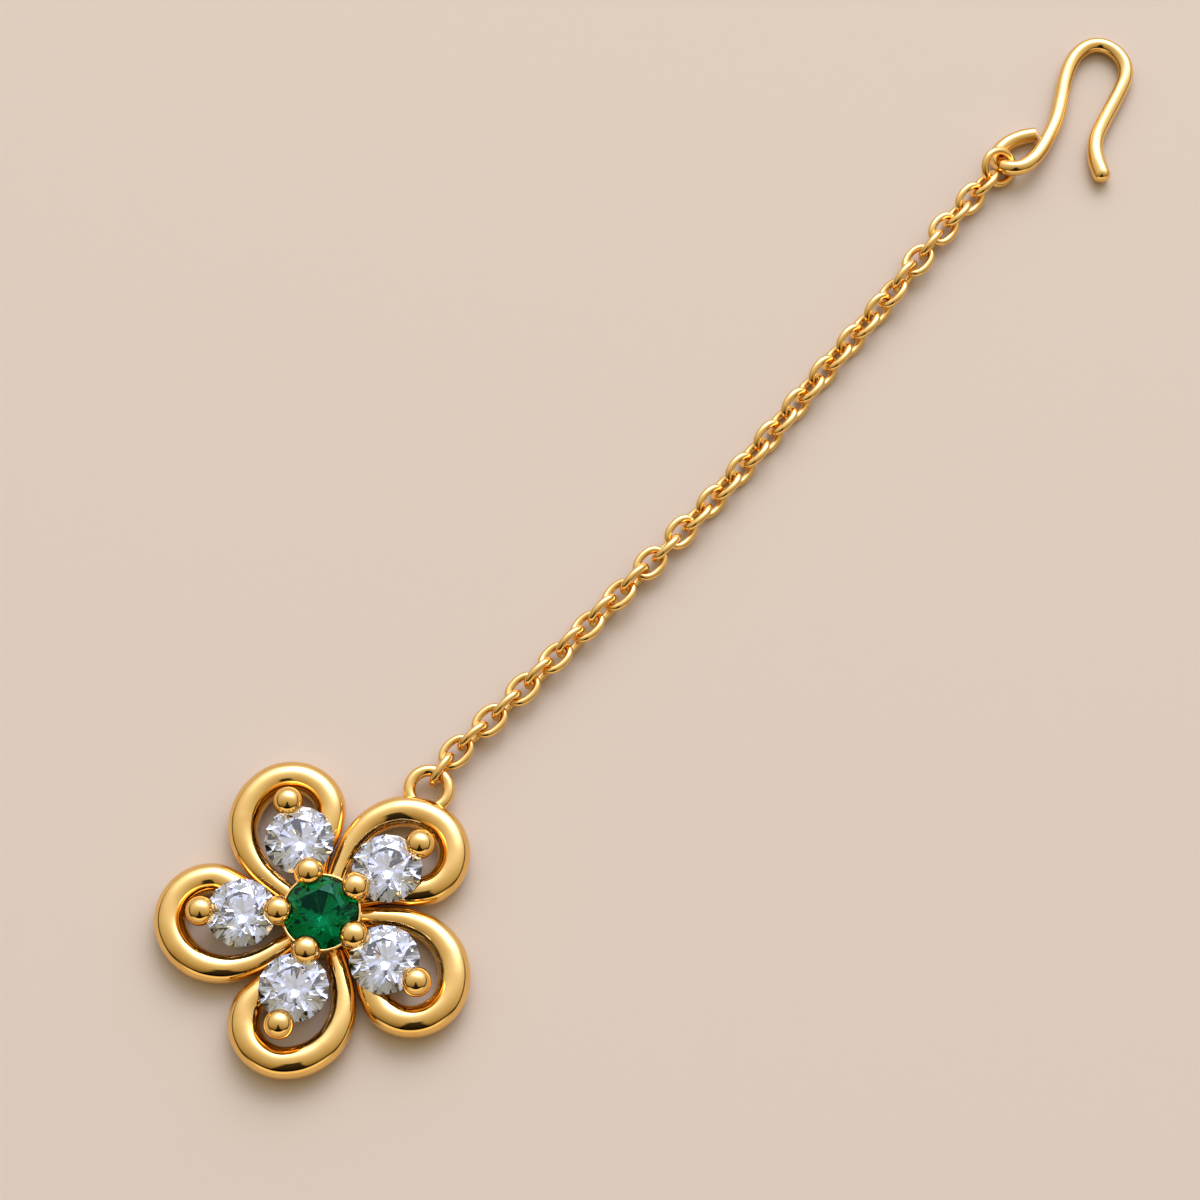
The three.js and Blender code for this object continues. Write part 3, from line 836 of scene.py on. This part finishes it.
def build_world():
    """Soft dome of a studio: bright towards the key and dim towards the camera, with the stand, the
    line above the horizon and the board that the gold mirrors as thin dark and pale lines."""
    world = bpy.data.worlds.new("studio")
    world.use_nodes = True
    bpy.context.scene.world = world
    nodes, links = world.node_tree.nodes, world.node_tree.links
    direction = nodes.new("ShaderNodeTexCoord").outputs["Generated"]
    height = node_dot(nodes, links, direction, UP)
    ahead = node_dot(nodes, links, direction, PICTURE_UP)
    aside = node_maths(nodes, links, "ABSOLUTE", node_dot(nodes, links, direction, PICTURE_RIGHT))

    wide = node_maths(nodes, links, "POWER", aside, 2)
    near = node_maths(nodes, links, "MULTIPLY_ADD", wide, DOME_WIDTH,
                      node_dot(nodes, links, direction, KEY_DIRECTION))
    stand = stand_shade(nodes, links, height, ahead, aside)
    line, board = horizon_shades(nodes, links, height, ahead)

    colour = nodes.new("ShaderNodeMix")
    colour.data_type = "RGBA"
    links.new(board, colour.inputs["Factor"])
    links.new(dome_colour(nodes, links, near), colour.inputs[MIX_FIRST])
    colour.inputs[MIX_SECOND].default_value = BOARD_COLOUR
    shade = node_maths(nodes, links, "MULTIPLY", stand, line)
    strength = node_maths(nodes, links, "MAXIMUM", shade, board)
    background = nodes["Background"]
    links.new(colour.outputs[MIX_RESULT], background.inputs["Color"])
    links.new(node_maths(nodes, links, "MULTIPLY", strength, DOME_PEAK),
              background.inputs["Strength"])


def build_lights():
    area_light("key", KEY_DIRECTION * KEY_DISTANCE, (0, 0, 0), KEY_SIZE, KEY_POWER, KEY_COLOUR)


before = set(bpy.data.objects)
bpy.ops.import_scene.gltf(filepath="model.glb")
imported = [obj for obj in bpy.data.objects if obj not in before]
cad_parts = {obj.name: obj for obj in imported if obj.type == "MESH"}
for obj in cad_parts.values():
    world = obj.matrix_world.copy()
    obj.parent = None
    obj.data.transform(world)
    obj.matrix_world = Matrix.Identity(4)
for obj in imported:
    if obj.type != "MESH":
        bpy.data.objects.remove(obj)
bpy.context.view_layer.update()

centre_stone_size = node_size("centre_stone").x
petal_stone_size = node_size("petal_stone_1").x
flower = stone_middle("centre_stone", centre_stone_size)
petal_offsets = [stone_middle(f"petal_stone_{index}", petal_stone_size) - flower
                 for index in range(1, PETAL_COUNT + 1)]
petal_angles = [math.atan2(offset.y, offset.x) for offset in petal_offsets]
stone_reach = petal_offsets[0].xy.length
petal_girdle = flower.z + petal_offsets[0].z
bead_radius = BEAD_DIAMETER / 2
inner_bead_reach = centre_stone_size / 2 + bead_radius - BEAD_OVER_CENTRE_STONE
outer_bead_reach = stone_reach + petal_stone_size / 2 + bead_radius - OUTER_BEAD_OVER_PETAL_STONE
petal_reach = outer_bead_reach + bead_radius + PETAL_INNER_GAP + PETAL_WIRE_WIDTH / 2
collet_radius = centre_stone_size / 2 + COLLET_WALL

gold = gold_material()
green = stone_material("green_stone", **GREEN_STONE)
white = stone_material("white_stone", **WHITE_STONE)

build_camera()
build_world()
build_lights()
build_floor()
build_flower()
build_stones()
build_chain()
build_hook()
bpy.context.scene.view_settings.view_transform = "Standard"

bpy.context.view_layer.update()
